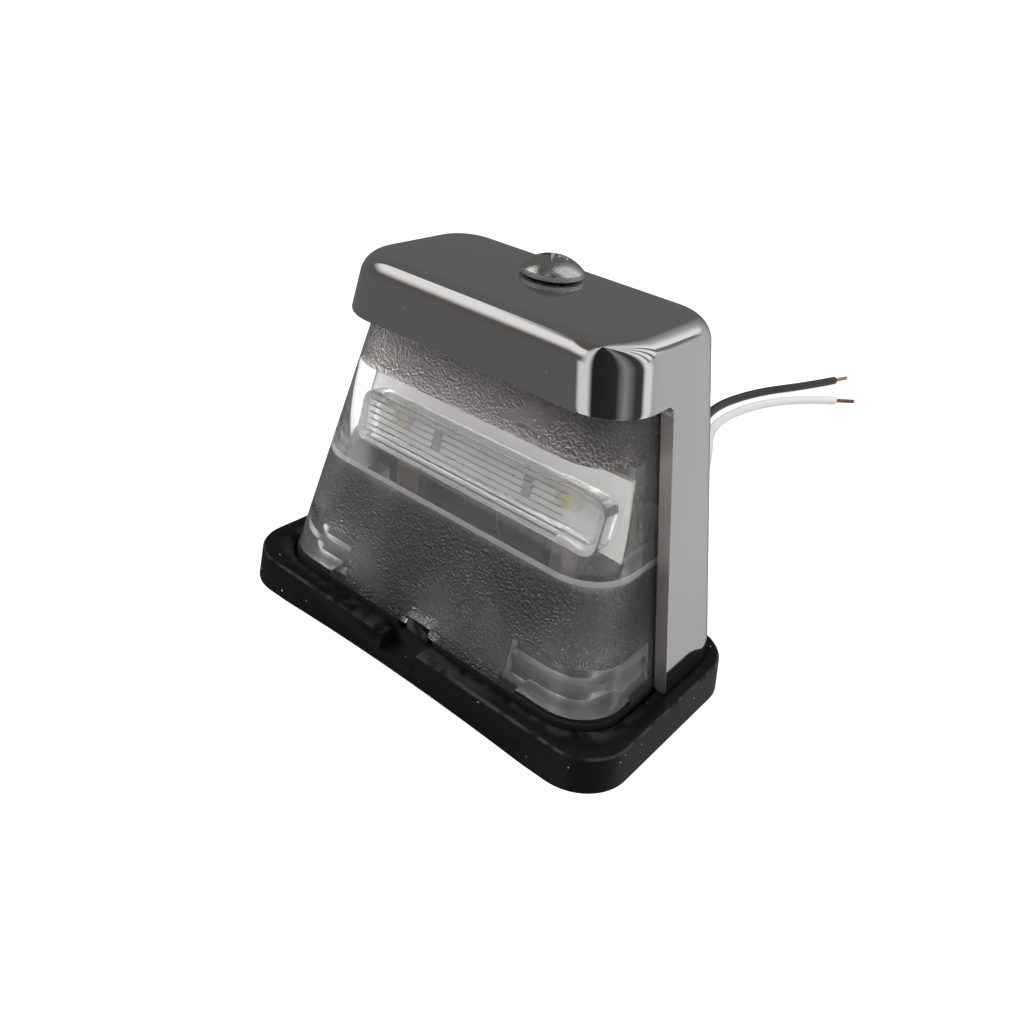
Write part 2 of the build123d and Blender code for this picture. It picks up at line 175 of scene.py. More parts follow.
class Finish:
    """One procedural material: its nodes are made by node(), and surface() sets the shader."""

    def __init__(self, name, tree=None):
        self.material = None
        if tree is None:
            self.material = bpy.data.materials.new(name)
            self.material.use_nodes = True
            tree = self.material.node_tree
        self.tree = tree
        self.tree.nodes.clear()
        self._place = None

    def node(self, kind, settings, sockets, output=0):
        """A node of that kind with its settings and its sockets' values or links; gives one of its outputs."""
        made = self.tree.nodes.new(kind)
        for key, setting in settings.items():
            if key == "stops":
                ramp = made.color_ramp
                for place, colour in setting[len(ramp.elements):]:
                    ramp.elements.new(place)
                for element, (place, colour) in zip(ramp.elements, setting):
                    element.position = place
                    element.color = colour
            else:
                setattr(made, key, setting)
        for key, given in sockets.items():
            if isinstance(given, Value):
                self.tree.links.new(given.socket, made.inputs[key])
            else:
                made.inputs[key].default_value = given
        return Value(self, made.outputs[output])

    def place(self):
        """The point on the object, in metres."""
        if self._place is None:
            self._place = self.node("ShaderNodeTexCoord", {}, {}, "Object")
        return self._place

    def along(self, axis):
        """One coordinate of the point on the object, in millimetres: 0 is x, 1 is y and 2 is z."""
        return self.node("ShaderNodeSeparateXYZ", {}, {0: self.place()}, axis) * (1 / MM)

    def facing(self, axis):
        """One part of the surface's normal: 0 is x, 1 is y and 2 is z."""
        normal = self.node("ShaderNodeNewGeometry", {}, {}, "Normal")
        return self.node("ShaderNodeSeparateXYZ", {}, {0: normal}, axis)

    def noise(self, size, detail=2.0, roughness=0.5, stretch=None):
        """Soft noise from 0 to 1 whose grain is about that size in millimetres."""
        vector = self.place()
        if stretch:
            vector = self.node("ShaderNodeMapping", {}, {0: vector, "Scale": stretch})
        sockets = {"Vector": vector, "Scale": 1 / (size * MM), "Detail": detail, "Roughness": roughness}
        return self.node("ShaderNodeTexNoise", {}, sockets)

    def cells(self, size, feature="F1", output="Distance"):
        """Cells of about that size in millimetres: the distance to a cell's middle, or its random colour."""
        sockets = {"Vector": self.place(), "Scale": 1 / (size * MM)}
        return self.node("ShaderNodeTexVoronoi", {"feature": feature}, sockets, output)

    def specks(self, size, radius, share):
        """Small round specks, one in the given share of the cells: 1 on a speck and 0 elsewhere."""
        near = self.cells(size).step(radius, radius * 0.6)
        chance = self.node("ShaderNodeSeparateColor", {}, {0: self.cells(size, output="Color")}, 0)
        return near * chance.step(share, share * 0.98)

    def mix(self, share, first, second):
        """A colour between two."""
        settings = {"data_type": "RGBA"}
        return self.node("ShaderNodeMix", settings, {0: share, 6: first, 7: second}, 2)

    def bump(self, height, distance, strength=1.0):
        """A normal that follows a height, given as a share of the distance in millimetres."""
        sockets = {"Height": height, "Distance": distance * MM, "Strength": strength}
        return self.node("ShaderNodeBump", {}, sockets)

    def surface(self, sockets):
        """Ends the material in one Principled shader with these sockets."""
        shader = self.node("ShaderNodeBsdfPrincipled", {}, sockets)
        return self.end(shader)

    def end(self, shader):
        """Links a shader to the material's output."""
        output = self.tree.nodes.new("ShaderNodeOutputMaterial")
        self.tree.links.new(shader.socket, output.inputs["Surface"])
        return self.material


def grid_quads(rows, columns, close_rows, close_columns):
    """Corner numbers of a grid's quads; a closed direction joins its last line to its first."""
    row = np.arange(rows if close_rows else rows - 1)[:, None]
    column = np.arange(columns if close_columns else columns - 1)[None, :]
    next_row = (row + 1) % rows
    next_column = (column + 1) % columns
    corners = [
        row * columns + column,
        row * columns + next_column,
        next_row * columns + next_column,
        next_row * columns + column,
    ]
    return np.stack(np.broadcast_arrays(*corners), axis=-1).reshape(-1, 4)


def add_piece(name, points, quads, finishes, kinds=None, sharp=32.0):
    """A piece from points in millimetres and quads: doubles merged, faces outwards, smooth below the sharp angle."""
    mesh = bpy.data.meshes.new(name)
    mesh.from_pydata((points.reshape(-1, 3) * MM).tolist(), [], quads.tolist())
    dress(mesh, finishes)
    if kinds is not None:
        mesh.polygons.foreach_set("material_index", kinds.astype(np.int32))
    return finish_mesh(name, mesh, sharp)


def dress(mesh, finishes):
    """Gives a mesh its finishes, in place of any it has."""
    mesh.materials.clear()
    for finish in finishes:
        mesh.materials.append(finish)


def finish_mesh(name, mesh, sharp):
    """Merges a mesh's doubles, turns its faces outwards, smooths it and makes it a piece of the lamp."""
    work = bmesh.new()
    work.from_mesh(mesh)
    bmesh.ops.remove_doubles(work, verts=work.verts, dist=1e-7)
    bmesh.ops.dissolve_degenerate(work, edges=work.edges, dist=1e-8)
    bmesh.ops.recalc_face_normals(work, faces=work.faces)
    work.to_mesh(mesh)
    work.free()
    mesh.polygons.foreach_set("use_smooth", np.ones(len(mesh.polygons), dtype=bool))
    mesh.set_sharp_from_angle(angle=math.radians(sharp))
    made = bpy.data.objects.new(name, mesh)
    bpy.context.scene.collection.objects.link(made)
    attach(made, "root")
    return made


def smoothed_node(name, finish, sharp=28.0):
    """A copy of a solid's mesh with its loose triangles merged, so that its rounded corners shade smoothly."""
    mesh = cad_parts[name].data.copy()
    dress(mesh, [finish])
    made = finish_mesh(name + "_smooth", mesh, sharp)
    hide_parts(name)
    return made


def paint(finish, *names):
    """Gives the solids of these names a finish."""
    for name in names:
        dress(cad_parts[name].data, [finish])


def lens_half_at(z):
    """Half the lens's width at a height: its width at the foot, less the side's lean."""
    return LENS_HALF - SIDE_TAPER * (z - LENS_FOOT)


def lens_front_at(z):
    """The lens's front at a height: its front at the foot, moved back by the lean."""
    return LENS_FRONT + FRONT_TAPER * (z - LENS_FOOT)


def lens_rear_at(z):
    """The lens's rear at a height: its rear at the foot, moved forward by the lean."""
    return LENS_REAR - REAR_TAPER * (z - LENS_FOOT)


FRONT_LINE, FRONT_ARC, SIDE_LINE, REAR_ARC, REAR_LINE = range(5)


def cover_columns(front_x, front_arc, side_y, rear_arc):
    """The upright lines round a cover: their segment, their place along it and their side, from the front's
    middle round the right to the rear's middle, then the same mirrored back to the front."""
    front_turn = np.linspace(-math.pi / 2, 0, front_arc + 1)
    rear_turn = np.linspace(0, math.pi / 2, rear_arc + 1)
    parts = [front_x, front_turn, side_y, rear_turn, [0.6, 0.0]]
    segment = np.concatenate([np.full(len(part), number) for number, part in enumerate(parts)])
    place = np.concatenate([np.asarray(part, dtype=float) for part in parts])
    segment = np.concatenate([segment, segment[-2:0:-1]])
    side = np.concatenate([np.ones(len(place)), -np.ones(len(place) - 2)])
    place = np.concatenate([place, place[-2:0:-1]])
    return segment, place, side


def mirrored(values):
    """A value for each line of the right half, repeated for the mirrored left half."""
    values = np.asarray(values, dtype=float)
    return np.concatenate([values, values[-2:0:-1]])


def cover_rings(columns, z, half, front, rear, front_corner, rear_corner, pin):
    """Points of a cover's rings: a rectangle with round corners at each height, taken at the upright lines.
    A line on a straight keeps its own x or y up to the pin height, and above it keeps its share of the straight."""
    segment, place, side = columns
    squeeze = (half - front_corner) / (lens_half_at(pin) - LENS_FRONT_CORNER)
    front_x = np.where(z > pin, place * squeeze, place)
    low_start = lens_front_at(pin) + LENS_FRONT_CORNER
    low_end = lens_rear_at(pin) - LENS_REAR_CORNER
    share = (place - low_start) / (low_end - low_start)
    start = front + front_corner
    end = rear - rear_corner
    side_y = np.where(z > pin, start + share * (end - start), place)
    front_arc_x = half - front_corner + front_corner * np.cos(place)
    front_arc_y = front + front_corner + front_corner * np.sin(place)
    rear_arc_x = half - rear_corner + rear_corner * np.cos(place)
    rear_arc_y = rear - rear_corner + rear_corner * np.sin(place)
    x = np.choose(segment, [front_x, front_arc_x, half, rear_arc_x, place * (half - rear_corner)])
    y = np.choose(segment, [front, front_arc_y, side_y, rear_arc_y, rear])
    return np.stack([x * side, y, z], axis=-1)


def hole_ring(ring, z):
    """A circle round the screw's axis: each point of a ring, drawn in towards the axis to the hole's radius."""
    away = ring[:, :2] - np.array([0.0, SCREW_Y])
    away = away / np.linalg.norm(away, axis=1, keepdims=True) * SCREW_HOLE
    flat = away + np.array([0.0, SCREW_Y])
    return np.concatenate([flat, np.full((len(ring), 1), z)], axis=1)


def hood_rings(columns, z, inset):
    """Rings of the hood: the lens's slopes moved out by the skin, drawn in by the inset."""
    half = lens_half_at(z) + HOOD_SKIN - inset
    front = HOOD_LIP_FRONT + HOOD_FRONT_TAPER * (z - LIP_BOTTOM) + inset
    rear = lens_rear_at(z) + HOOD_SKIN - inset
    rear_corner = LENS_REAR_CORNER + HOOD_SKIN - inset
    return cover_rings(columns, z, half, front, rear, HOOD_FRONT_CORNER - inset, rear_corner, HOOD_TOP + 1)


def add_hood(finish, inside):
    """The chrome hood as one closed grid. Down each upright line runs the same profile: lower edge, outer wall,
    a quarter round into the roof, the screw hole, the ceiling and the inner wall. The lower edge is the lip's
    height in front, a small quarter round at the wing, and the flange's height behind the wing's front."""
    turn = np.linspace(0, math.pi / 2, 5)
    corner_y = WING_FRONT - WING_CORNER + WING_CORNER * np.sin(turn)
    corner_z = LIP_BOTTOM - WING_CORNER + WING_CORNER * np.cos(turn)
    front_x = [0.0, 5.0, 10.0, 14.0]
    side_y = np.concatenate([corner_y, [WING_FRONT, 4.0, 7.0]])
    front_arc = 18
    rear_arc = 14
    columns = cover_columns(front_x, front_arc, side_y, rear_arc)
    lip = np.full(len(front_x) + front_arc + 1, LIP_BOTTOM)
    wing = np.full(3 + rear_arc + 1 + 2, FLANGE_HEIGHT)
    low = mirrored(np.concatenate([lip, corner_z, wing]))

    edge = np.linspace(0, math.pi / 2, 4)[:, None]
    split = np.maximum(low + LIP_EDGE, LIP_BOTTOM - WING_CORNER + LIP_EDGE)
    level = np.array([[LIP_BOTTOM + 1.0], [HOOD_TOP - HOOD_EDGE]]) + 0 * low
    bend = np.linspace(0, math.pi / 2, 13)[1:, None]
    outer_z = np.concatenate([
        low + LIP_EDGE * (1 - np.cos(edge)),
        split[None, :],
        level,
        HOOD_TOP - HOOD_EDGE * (1 - np.sin(bend)) + 0 * low,
        np.full((1, len(low)), HOOD_TOP),
    ])
    outer_inset = np.concatenate([
        LIP_EDGE * (1 - np.sin(edge)) + 0 * low,
        np.zeros((3, len(low))),
        HOOD_EDGE * (1 - np.cos(bend)) + 0 * low,
        np.full((1, len(low)), HOOD_EDGE + 0.25),
    ])
    inner_z = np.concatenate([
        np.full((1, len(low)), LENS_TOP),
        level[:1],
        split[None, :],
        low + LIP_EDGE * (1 - np.cos(edge[::-1])),
    ])
    inner_inset = np.concatenate([
        np.full((3, len(low)), HOOD_WALL),
        HOOD_WALL - LIP_EDGE * (1 - np.sin(edge[::-1])) + 0 * low,
    ])
    outer = hood_rings(columns, outer_z, outer_inset)
    inner = hood_rings(columns, inner_z, inner_inset)
    top_hole = hole_ring(outer[-1], HOOD_TOP)[None]
    low_hole = hole_ring(outer[-1], LENS_TOP)[None]
    points = np.concatenate([outer, top_hole, low_hole, inner])
    quads = grid_quads(points.shape[0], points.shape[1], True, True)
    row = np.arange(points.shape[0])
    within = (row > len(outer)) & (row < points.shape[0] - 3)
    kinds = np.repeat(within.astype(int), points.shape[1])
    made = add_piece("hood_plated", points, quads, [finish, inside], kinds)
    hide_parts("hood")
    return made


def lens_rings(columns, z, inset):
    """Rings of the lens: leaning walls with round corners, drawn in by the inset."""
    half = lens_half_at(z) - inset
    front = lens_front_at(z) + inset
    rear = lens_rear_at(z) - inset
    return cover_rings(
        columns, z, half, front, rear, LENS_FRONT_CORNER - inset, LENS_REAR_CORNER - inset, FOOT_TOP
    )


def add_lens(clear, pebbled, inside, sill, footing):
    """The lens as one closed grid. Down each upright line runs the same profile: the outer wall from its lower
    edge to the roof, the screw hole, the ceiling, and the inner wall with its window recess and feet.
    The lower edge rises over the key and under the feet, and the wall is thicker where a foot stands."""
    front_x = [0.0, KEY_GAP, KEY_GAP, 9.0, FOOT_START, FOOT_START, RELIEF_START, RELIEF_START]
    key = [1, 1, 0, 0, 0, 0, 0, 0]
    foot = [0, 0, 0, 0, 0, 1, 1, 1]
    relief = [0, 0, 0, 0, 0, 0, 0, 1]
    side_y = [RELIEF_END, RELIEF_END, WING_FRONT, WING_FRONT, 7.0]
    side_foot = [1, 1, 1, 0, 0]
    side_relief = [1, 0, 0, 0, 0]
    front_arc = 18
    rear_arc = 10
    columns = cover_columns(front_x, front_arc, side_y, rear_arc)
    arc = [1] * (front_arc + 1)
    rest = [0] * (rear_arc + 3)
    key = mirrored(key + [0] * (len(arc) + len(side_y)) + rest)
    foot = mirrored(foot + arc + side_foot + rest)
    relief = mirrored(relief + arc + side_relief + rest)
    low = LENS_FOOT + key * (KEY_GAP_TOP - LENS_FOOT) + relief * (RELIEF_TOP - LENS_FOOT)
    flat = 0 * low
    thick = LENS_WALL + foot * (FOOT_DEPTH - LENS_WALL)
    slotted = LENS_WALL + foot * (FOOT_SLOT_WALL - LENS_WALL)

    above_key = KEY_GAP_TOP + 0.2
    outer_z = np.stack([low] + [flat + z for z in (above_key, FOOT_TOP, PEBBLE_LOW, BAND_HIGH, LENS_TOP)])
    inner_profile = [
        (flat + LENS_CEILING, flat + LENS_WALL),
        (flat + BAND_HIGH, flat + LENS_WALL),
        (flat + BAND_HIGH, flat + WINDOW_WALL),
        (flat + BAND_LOW + BAND_SLOPE, flat + WINDOW_WALL),
        (flat + BAND_LOW, flat + LENS_WALL),
        (flat + FOOT_TOP, flat + LENS_WALL),
        (flat + FOOT_TOP, thick),
        (flat + FOOT_SLOT_HIGH, thick),
        (flat + FOOT_SLOT_HIGH, slotted),
        (flat + FOOT_SLOT_LOW, slotted),
        (flat + FOOT_SLOT_LOW, thick),
        (low, thick),
    ]
    inner_z = np.stack([row[0] for row in inner_profile])
    inner_inset = np.stack([row[1] for row in inner_profile])
    outer = lens_rings(columns, outer_z, 0 * outer_z)
    inner = lens_rings(columns, inner_z, inner_inset)
    top_hole = hole_ring(outer[-1], LENS_TOP)[None]
    low_hole = hole_ring(outer[-1], LENS_CEILING)[None]
    points = np.concatenate([outer, top_hole, low_hole, inner])
    quads = grid_quads(points.shape[0], points.shape[1], True, True)
    first_inner = len(outer) + 2
    row = np.arange(points.shape[0])[:, None]
    kinds = np.where((row >= first_inner) & (row < points.shape[0] - 1), 2, 0)
    kinds = np.where((row < 3) & ((foot == 0) | (row == 2)) | (row == 4), 1, kinds)
    kinds = np.where(row == first_inner + 3, 3, kinds)
    kinds = np.where((row > first_inner + 4) & (foot > 0), 4, kinds)
    made = add_piece("lens_cover", points, quads, [clear, pebbled, inside, sill, footing], kinds.ravel())
    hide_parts("lens")
    return made


def add_hood_screw(finish):
    """The screw as a turned surface: tip, shank, flat under the head, rim and dome, each a radius and a height
    carried round the axis. The cross recess lowers the dome within two arms that grow shallow to their ends."""
    around = np.linspace(0, 2 * math.pi, 144, endpoint=False)[None, :]
    ball = (HEAD_RADIUS**2 + HEAD_DOME**2) / (2 * HEAD_DOME)
    rim_top = HEAD_SEAT + HEAD_RIM
    dome_radius = np.linspace(HEAD_RADIUS, 0, 60)
    dome_height = rim_top + HEAD_DOME - ball + np.sqrt(ball**2 - dome_radius**2)
    below = np.array([
        (0.0, SHANK_TIP),
        (SHANK_RADIUS - 0.4, SHANK_TIP),
        (SHANK_RADIUS, SHANK_TIP + 0.5),
        (SHANK_RADIUS, HEAD_SEAT),
        (HEAD_RADIUS - 0.25, HEAD_SEAT),
        (HEAD_RADIUS, HEAD_SEAT + 0.2),
        (HEAD_RADIUS, rim_top - 0.15),
    ])
    radius = np.concatenate([below[:, 0], dome_radius])[:, None]
    height = np.concatenate([below[:, 1], dome_height])[:, None]
    x = radius * np.cos(around)
    y = radius * np.sin(around)
    turned = math.radians(RECESS_TURN)
    across = np.abs(x * math.cos(turned) + y * math.sin(turned))
    beside = np.abs(y * math.cos(turned) - x * math.sin(turned))
    nearest = np.minimum(across, beside)
    farthest = np.maximum(across, beside)
    arm = np.clip((RECESS_ARM - 0.12 * farthest - nearest) / 0.2, 0, 1)
    reach = np.clip((RECESS_REACH - farthest) / 1.2, 0, 1)
    recess = arm * arm * (3 - 2 * arm) * reach * (height > rim_top)
    z = height - RECESS_DEPTH * recess
    points = np.stack([x, y + SCREW_Y, z], axis=-1)
    quads = grid_quads(points.shape[0], points.shape[1], False, True)
    made = add_piece("hood_screw_turned", points, quads, [finish], sharp=40.0)
    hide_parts("hood_screw")
    return made


def on_module(x, rise, out):
    """Points of the LED module: along the board, up its leaning face, and out from its front."""
    lean = math.atan(FRONT_TAPER)
    y = MODULE_Y + rise * math.sin(lean) - out * math.cos(lean)
    z = MODULE_Z + rise * math.cos(lean) + out * math.sin(lean)
    return np.stack(np.broadcast_arrays(x, y, z), axis=-1)


def add_optic(finish, grooved):
    """The fluted bar: one section carried along the board. The section runs round the front, the sides and the
    pocket in the back. Its half height shrinks to the ends by the corner's circle, and between the two ends of the
    flutes the front has a narrow groove at each eighth of its height and bulges a little between grooves."""
    corner = OPTIC_CORNER * (1 - np.cos(np.linspace(0, math.pi / 2, 9)))
    pocket_end = OPTIC_HALF - OPTIC_SHELL
    left = np.concatenate([-OPTIC_HALF + corner, [-pocket_end, -pocket_end]])
    right = -left
    middle = [FLUTE_LEFT, FLUTE_LEFT + 0.15, -12.0, 0.0, 12.0, FLUTE_RIGHT - 0.15, FLUTE_RIGHT]
    along = np.sort(np.concatenate([left, middle, right]))
    inside = np.zeros(len(along))
    first = np.searchsorted(along, -pocket_end, side="left") + 1
    last = np.searchsorted(along, pocket_end, side="right") - 2
    inside[first:last + 1] = 1.0
    fluted = ((along > FLUTE_LEFT + 0.1) & (along < FLUTE_RIGHT - 0.1)).astype(float)
    from_end = np.clip(OPTIC_HALF - np.abs(along), 0, OPTIC_CORNER)
    half = OPTIC_RISE - OPTIC_CORNER + np.sqrt(np.maximum(OPTIC_CORNER**2 - (OPTIC_CORNER - from_end) ** 2, 0))

    share = np.linspace(-1, 1, FLUTES * 16 + 1)
    phase = (share + 1) / 2 * FLUTES
    to_groove = np.abs(phase - np.round(phase)) * 2 * OPTIC_RISE / FLUTES
    groove = np.clip(1 - to_groove / GROOVE_HALF, 0, 1) * (np.abs(share) < 0.99)
    bulge = RIB_BULGE * (1 - (2 * (phase - np.floor(phase)) - 1) ** 2)
    front_out = OPTIC_DEPTH - fluted[:, None] * (FLUTE_DEPTH * groove + RIB_BULGE - bulge)
    front_rise = half[:, None] * share
    pocket_half = np.maximum(half - OPTIC_SHELL, 0.1)
    depth = OPTIC_POCKET * inside
    back_rise = np.stack([half, pocket_half, pocket_half, -pocket_half, -pocket_half, -half], axis=1)
    back_out = np.stack([0 * half, 0 * half, depth, depth, 0 * half, 0 * half], axis=1)
    rise = np.concatenate([front_rise, back_rise], axis=1)
    out = np.concatenate([front_out, back_out], axis=1)
    rise = np.concatenate([0 * rise[:1], rise, 0 * rise[:1]])
    out = np.concatenate([0 * out[:1] + OPTIC_DEPTH / 2, out, 0 * out[:1] + OPTIC_DEPTH / 2])
    along = np.concatenate([along[:1], along, along[-1:]])
    points = on_module(along[:, None] + 0 * rise, rise, out)
    quads = grid_quads(points.shape[0], points.shape[1], False, True)
    in_groove = np.append((groove[:-1] + groove[1:]) > 0, np.zeros(7, dtype=bool))
    on_flutes = np.concatenate([[0.0], fluted[:-1] * fluted[1:], [0.0]])
    kinds = (on_flutes[:, None] * in_groove).ravel()
    made = add_piece("optic_fluted", points, quads, [finish, grooved], kinds, sharp=25.0)
    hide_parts("optic")
    return made


def add_board_chip(name, place, rise, rings, finishes, kinds):
    """A small part on the board: rings of the shape |x/a|^n + |y/b|^n = 1, one above another out from the board.
    Each ring is half length, half height, exponent n and distance out."""
    around = np.linspace(0, 2 * math.pi, 64, endpoint=False)[None, :]
    half_length, half_height, power, out = [column[:, None] for column in np.array(rings).T]
    cosine = np.cos(around)
    sine = np.sin(around)
    x = half_length * np.sign(cosine) * np.abs(cosine) ** (2 / power)
    y = half_height * np.sign(sine) * np.abs(sine) ** (2 / power)
    points = on_module(place + x, rise + y, out + 0 * x)
    quads = grid_quads(points.shape[0], points.shape[1], False, True)
    made = add_piece(name + "_body", points, quads, finishes, np.repeat(np.array(kinds), points.shape[1]))
    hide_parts(name)
    return made


def add_lead(name, route, finish):
    """A free lead: one open spline of order three on the route's points, with a round section."""
    line = bpy.data.curves.new(name + "_line", "CURVE")
    line.dimensions = "3D"
    line.bevel_depth = LEAD_DIAMETER / 2 * MM
    line.bevel_resolution = 5
    line.resolution_u = 24
    line.use_fill_caps = True
    spline = line.splines.new("NURBS")
    spline.points.add(len(route) - 1)
    points = [(x * MM, y * MM, LEAD_HEIGHT * MM, 1.0) for x, y in route]
    spline.points.foreach_set("co", np.array(points).ravel())
    spline.order_u = 3
    spline.use_endpoint_u = True
    line.materials.append(finish)
    made = bpy.data.objects.new(name + "_wire", line)
    bpy.context.scene.collection.objects.link(made)
    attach(made, "root")
    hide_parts(name)
    return made, points[0][:3]


def add_lead_tip(name, route, finish):
    """A stripped end: one straight strand with six laid round it in a slow twist, each a round section carried
    along its line and drawn to a point at both ends."""
    end = np.array([route[-1][0], route[-1][1], LEAD_HEIGHT])
    along = np.array([route[-1][0] - route[-2][0], route[-1][1] - route[-2][1], 0.0])
    along = along / np.linalg.norm(along)
    across = np.array([-along[1], along[0], 0.0])
    upward = np.array([0.0, 0.0, 1.0])
    step = np.linspace(0, 1, 28)[None, :, None, None]
    strand = np.arange(STRANDS)[:, None, None, None]
    around = np.linspace(0, 2 * math.pi, 10, endpoint=False)[None, None, :, None]
    off = np.where(strand == 0, 0.0, STRAND_OFF)
    twist = strand * math.pi / 3 + step * STRAND_TWIST
    swell = np.where((step == 0) | (step == 1), 0.0, STRAND_RADIUS)
    middle = end + along * step * TIP_LENGTH
    middle = middle + off * (across * np.cos(twist) + upward * np.sin(twist))
    points = middle + swell * (across * np.cos(around) + upward * np.sin(around))
    quads = grid_quads(points.shape[1], points.shape[2], False, True)
    stride = points.shape[1] * points.shape[2]
    quads = (quads[None] + stride * np.arange(STRANDS)[:, None, None]).reshape(-1, 4)
    made = add_piece(name + "_strands", points, quads, [finish], sharp=60.0)
    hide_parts(name)
    return made


def chrome_finish():
    """Bright chrome: a neutral mirror with faint wipe marks, a few pinholes, a rough front edge on the wings, and
    painted shade towards the bottom.
    """
    finish = Finish("hood_chrome")
    smear = finish.noise(14.0, 3.0, stretch=(1.0, 1.0, 0.35)).step(0.45, 0.8)
    pinhole = finish.specks(2.4, 0.07, 0.16)
    under_lip = finish.along(2).step(LIP_BOTTOM - 1, LIP_BOTTOM - 1.6)
    front_edge = finish.along(1).step(WING_FRONT + 0.12, WING_FRONT + 0.04) * under_lip
    grain = finish.noise(0.28, 4.0, 0.7)
    shade = finish.mix(pinhole, (0.66, 0.655, 0.65, 1), (0.9, 0.9, 0.88, 1))
    shade = finish.mix(front_edge, shade, finish.mix(grain, (0.5, 0.46, 0.44, 1), (1.0, 0.96, 0.94, 1)))
    # Painted shade: the chrome's colour greys towards the bottom of its walls, from a height of 34 mm down.
    shade = finish.mix(finish.along(2).step(34.0, 8.0) * 0.3, shade, (0.35, 0.35, 0.35, 1))
    height = grain * front_edge + pinhole * 0.25
    return finish.surface({
        "Base Color": shade,
        "Metallic": 1.0,
        "Roughness": smear * 0.05 + front_edge * 0.4 + 0.045,
        "Normal": finish.bump(height, 0.22),
    })


def screw_finish():
    """Plated steel: brighter dome with faint turning rings, and a coarser rolled rim."""
    finish = Finish("screw_plated")
    rim = finish.along(2).step(HEAD_SEAT + HEAD_RIM + 0.1, HEAD_SEAT + HEAD_RIM - 0.1)
    marks = finish.noise(0.35, 4.0, 0.7)
    scratches = finish.noise(1.2, 3.0, stretch=(1.0, 5.0, 1.0)).step(0.5, 0.8)
    return finish.surface({
        "Base Color": finish.mix(marks, (0.5, 0.49, 0.47, 1), (0.74, 0.73, 0.71, 1)),
        "Metallic": 1.0,
        "Roughness": scratches * 0.16 + rim * 0.2 + 0.1,
        "Normal": finish.bump(marks * (rim * 0.9 + 0.1), 0.25),
    })


def base_finish():
    """Black moulded plastic: a fine satin grain, a painted highlight that pales the flange's rounded upper edge, and
    dust.
    """
    finish = Finish("base_black")
    tone = finish.noise(9.0, 3.0)
    grain = finish.noise(0.35, 3.0, 0.6)
    high = finish.along(2)
    upward = finish.facing(2)
    # Painted highlight: paler colour, in patches, where the flange's rounded upper edge faces partly up.
    edge = high.step(FLANGE_HEIGHT - 0.62, FLANGE_HEIGHT - 0.3) * upward.step(0.15, 0.45) * upward.step(0.97, 0.8)
    dust = finish.specks(1.7, 0.085, 0.3) + finish.specks(3.6, 0.06, 0.35)
    shade = finish.mix(tone, (0.0035, 0.0035, 0.0037, 1), (0.006, 0.006, 0.0063, 1))
    shade = finish.mix(edge * finish.noise(2.5, 2.0).step(0.3, 0.6), shade, (0.03, 0.03, 0.031, 1))
    shade = finish.mix(dust * 0.75, shade, (0.5, 0.5, 0.5, 1))
    return finish.surface({
        "Base Color": shade,
        "Roughness": tone * 0.12 + dust * 0.3 + 0.42,
        "Specular IOR Level": 0.16,
        "Normal": finish.bump(grain, 0.04, 0.6),
    })


def clear_plastic(tint, roughness, clearness):
    """Sockets of a clear moulding: a tint, a roughness and its clearness against haze."""
    return {
        "Base Color": tint,
        "Transmission Weight": clearness,
        "IOR": 1.45,
        "Roughness": roughness,
    }


def lens_clear_finish():
    """The lens's polished outside: a little haze and dust."""
    finish = Finish("lens_clear")
    haze = finish.noise(7.0, 4.0).step(0.5, 0.85)
    dust = finish.specks(2.6, 0.05, 0.2)
    tint = finish.mix(haze, (0.95, 0.945, 0.935, 1), (0.9, 0.89, 0.88, 1))
    return finish.surface(clear_plastic(tint, haze * 0.03 + dust * 0.5 + 0.02, 0.975))


def lens_pebbled_finish():
    """The lens's outside above and below the window band: fine round pebbles that scatter what is behind them. Its
    colour
    is painted shade: dark grey below the band with soft paler patches of painted glints, browner above and darker to
    the right."""
    finish = Finish("lens_pebbled")
    pebbles = finish.noise(0.45, 1.5, 0.5)
    across = finish.along(0)
    high = finish.along(2)
    # Painted glints: soft paler patches in the dark painted shade below the band.
    painted_glint_patch = finish.noise(17.0, 1.0).step(0.36, 0.74)
    low_painted_shade = finish.mix(painted_glint_patch, (0.14, 0.138, 0.137, 1), (0.4, 0.396, 0.392, 1))
    # Painted shade above the band, darker towards the right.
    high_painted_shade = finish.mix(across.step(8.0, 24.0), (0.48, 0.445, 0.43, 1), (0.28, 0.262, 0.254, 1))
    tint = finish.mix(high.step(PEBBLE_LOW, BAND_HIGH), low_painted_shade, high_painted_shade)
    sockets = clear_plastic(tint, 0.3 - painted_glint_patch * 0.06, 0.9)
    sockets["Normal"] = finish.bump(pebbles, 0.6)
    return finish.surface(sockets)


def lens_inside_finish():
    """The lens's inside: polished in the window band and matt above and below it."""
    finish = Finish("lens_inside")
    high = finish.along(2)
    matt = high.step(BAND_LOW + 0.05, BAND_LOW - 0.05) + high.step(BAND_HIGH - 0.05, BAND_HIGH + 0.05)
    tint = finish.mix(matt, (0.95, 0.94, 0.93, 1), (0.86, 0.845, 0.83, 1))
    return finish.surface(clear_plastic(tint, matt * 0.5 + 0.02, 0.955))


def lens_cloudy_finish(name, dark, pale, clearness, roughness):
    """Thick or sloping clear plastic that scatters some light: the band's sill and the feet."""
    finish = Finish(name)
    tint = finish.mix(finish.noise(4.0, 3.0), dark, pale)
    return finish.surface(clear_plastic(tint, finish.noise(1.5, 2.0) * 0.1 + roughness, clearness))


